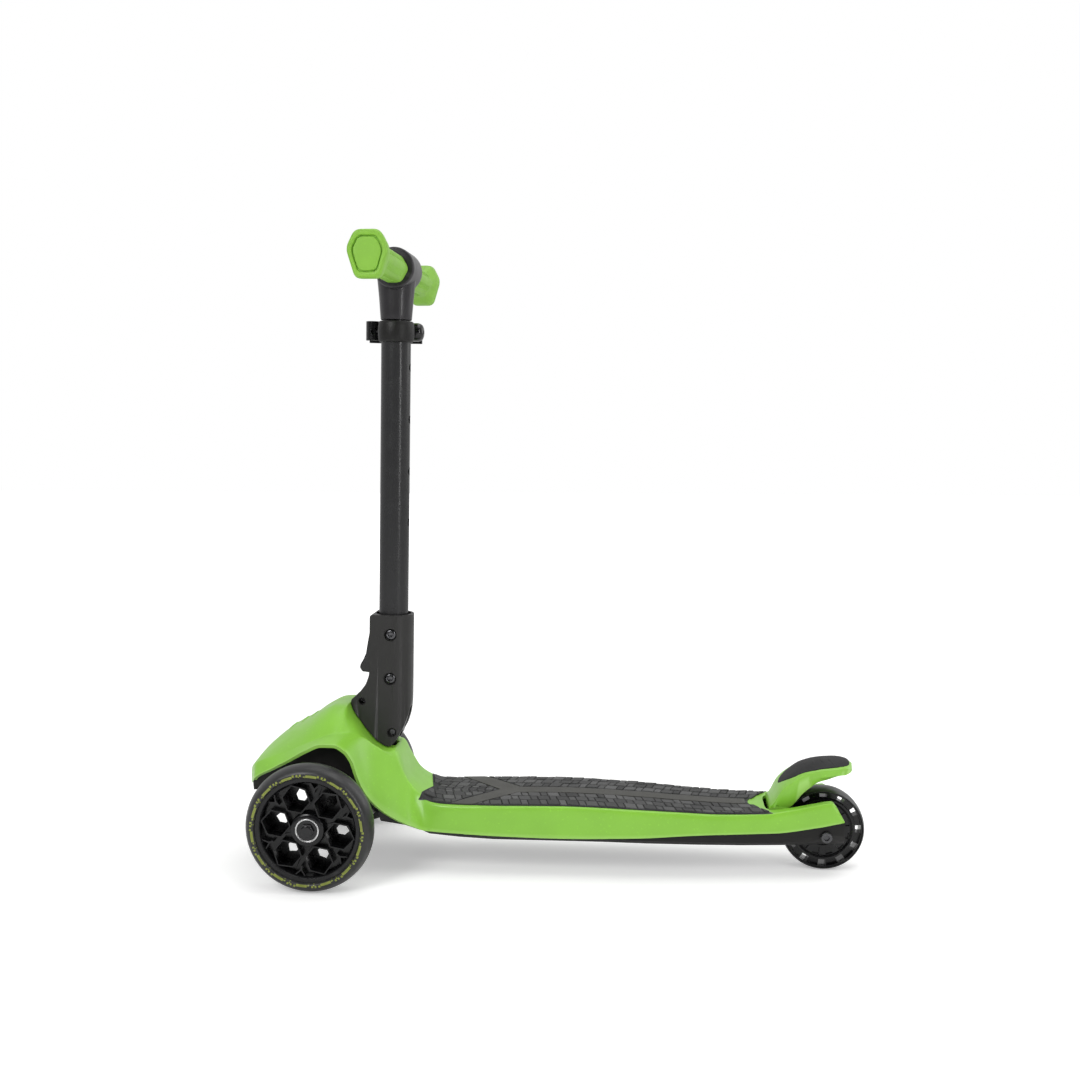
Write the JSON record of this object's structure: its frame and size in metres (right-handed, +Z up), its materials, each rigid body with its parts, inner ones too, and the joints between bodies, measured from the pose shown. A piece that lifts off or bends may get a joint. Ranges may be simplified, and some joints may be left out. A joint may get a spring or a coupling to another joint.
{
  "type": "kick scooter",
  "caption": "Child's three-wheeled kick scooter with a folding stem, telescopic T-bar, lean-to-steer front truck, grippy deck and stomp brake.",
  "frame": {"origin": "on the ground, centred between the front of the nose and the back of the rear wheel and between the grip ends", "axes": "-X forward, +X to the rear wheel, +Y to the rider's right, +Z up"},
  "size_m": [0.599, 0.278, 0.5963],
  "materials": {
    "green_plastic": "satin moulded green",
    "black_plastic": "fine-grained black moulding",
    "pad_rubber": "textured grip rubber",
    "inlay_rubber": "smooth grey rubber",
    "tyre_pu": "smoky cast polyurethane",
    "core_plastic": "glossy black moulding",
    "black_steel": "satin black powder coat",
    "zinc_steel": "zinc plated",
    "bearing_steel": "polished race",
    "cushion_rubber": "black elastomer",
    "grip_rubber": "soft green rubber"
  },
  "bodies": {
    "chassis": {"deck_shell": "green_plastic", "deck_pad": "pad_rubber", "deck_inlay": "inlay_rubber", "deck_tray": "black_plastic", "deck_screws": "zinc_steel", "nose_liner": "black_plastic", "fold_bracket": "black_steel", "fold_pin": "zinc_steel", "steering_bracket": "black_steel", "steering_cushion_upper": "cushion_rubber", "steering_cushion_lower": "cushion_rubber", "kingpin": "zinc_steel", "kingpin_nut": "zinc_steel", "rear_axle": "black_steel", "rear_axle_nut": "black_steel", "rear_washers": "zinc_steel", "brake_pin": "zinc_steel"},
    "truck": {"axle_beam": "black_steel", "front_axle": "zinc_steel", "front_axle_nuts": "black_steel"},
    "front_wheel_left": {"front_core_left": "core_plastic", "front_tyre_left": "tyre_pu", "front_bearings_left": "bearing_steel", "front_spacer_left": "zinc_steel"},
    "front_wheel_right": {"front_core_right": "core_plastic", "front_tyre_right": "tyre_pu", "front_bearings_right": "bearing_steel", "front_spacer_right": "zinc_steel"},
    "rear_wheel": {"rear_core": "core_plastic", "rear_tyre": "tyre_pu", "rear_bearings": "bearing_steel", "rear_spacer": "zinc_steel"},
    "brake": {"brake_fender": "green_plastic", "brake_pad": "pad_rubber"},
    "stem": {"housing_left": "black_plastic", "housing_right": "black_plastic", "housing_screws": "black_steel", "outer_tube": "black_steel", "tube_bush": "black_plastic", "tube_plug": "black_plastic", "latch_spring": "zinc_steel", "latch_guide": "zinc_steel", "trigger_pin": "zinc_steel", "clamp_collar": "black_plastic", "clamp_bolt": "black_steel", "clamp_nut": "black_plastic"},
    "quick_lever": {"clamp_lever": "black_plastic"},
    "trigger": {"fold_trigger": "black_plastic"},
    "plunger": {"latch_plunger": "zinc_steel"},
    "t_bar": {"inner_tube": "black_steel", "inner_tube_foot": "black_plastic", "tee_joint": "black_plastic", "handlebar": "black_steel", "grip_left": "grip_rubber", "grip_right": "grip_rubber", "grip_plug_left": "grip_rubber", "grip_plug_right": "grip_rubber"},
    "button": {"snap_button": "black_plastic"}
  },
  "joints": [
    {"name": "steer_lean", "type": "hinge", "parent": "chassis", "child": "truck", "pos_m": [-0.1995, 0, 0.062], "axis": [-0.6428, 0, 0.766], "range_deg": [-10, 10], "stiffness_Nm_per_rad": 25},
    {"name": "front_left_spin", "type": "hinge", "parent": "truck", "child": "front_wheel_left", "pos_m": [-0.2195, -0.104, 0.06], "axis": [0, 1, 0], "continuous": true},
    {"name": "front_right_spin", "type": "hinge", "parent": "truck", "child": "front_wheel_right", "pos_m": [-0.2195, 0.104, 0.06], "axis": [0, 1, 0], "continuous": true},
    {"name": "rear_spin", "type": "hinge", "parent": "chassis", "child": "rear_wheel", "pos_m": [0.2595, 0, 0.04], "axis": [0, 1, 0], "continuous": true},
    {"name": "brake_press", "type": "hinge", "parent": "chassis", "child": "brake", "pos_m": [0.212, 0, 0.055], "axis": [0, 1, 0], "range_deg": [0, 4.8], "stiffness_Nm_per_rad": 4, "springref_deg": -5.73},
    {"name": "stem_fold", "type": "hinge", "parent": "chassis", "child": "stem", "pos_m": [-0.1596, 0, 0.1287], "axis": [0, 1, 0], "range_deg": [0, 88]},
    {"name": "handlebar_height", "type": "slide", "parent": "stem", "child": "t_bar", "axis": [0.0195, 0, 0.9998], "range_m": [0, 0.14]},
    {"name": "clamp_open", "type": "hinge", "parent": "stem", "child": "quick_lever", "pos_m": [-0.18113, 0.02, 0.51942], "axis": [0.0195, 0, 0.9998], "range_deg": [0, 110]},
    {"name": "trigger_pull", "type": "hinge", "parent": "stem", "child": "trigger", "pos_m": [-0.17794, 0, 0.2213], "axis": [0, -1, 0], "range_deg": [0, 10], "stiffness_Nm_per_rad": 0.5, "springref_deg": -5.73},
    {"name": "latch_lift", "type": "slide", "parent": "stem", "child": "plunger", "axis": [0.0195, 0, 0.9998], "range_m": [0, 0.0051], "deforming": ["latch_spring"]},
    {"name": "button_press", "type": "slide", "parent": "t_bar", "child": "button", "axis": [-0.9998, 0, 0.0195], "range_m": [0, 0.003], "stiffness_N_per_m": 300, "springref_m": -0.002}
  ],
  "couplings": [
    {"joint": "latch_lift", "follows": "trigger_pull", "m_per_rad": 0.0286}
  ]
}
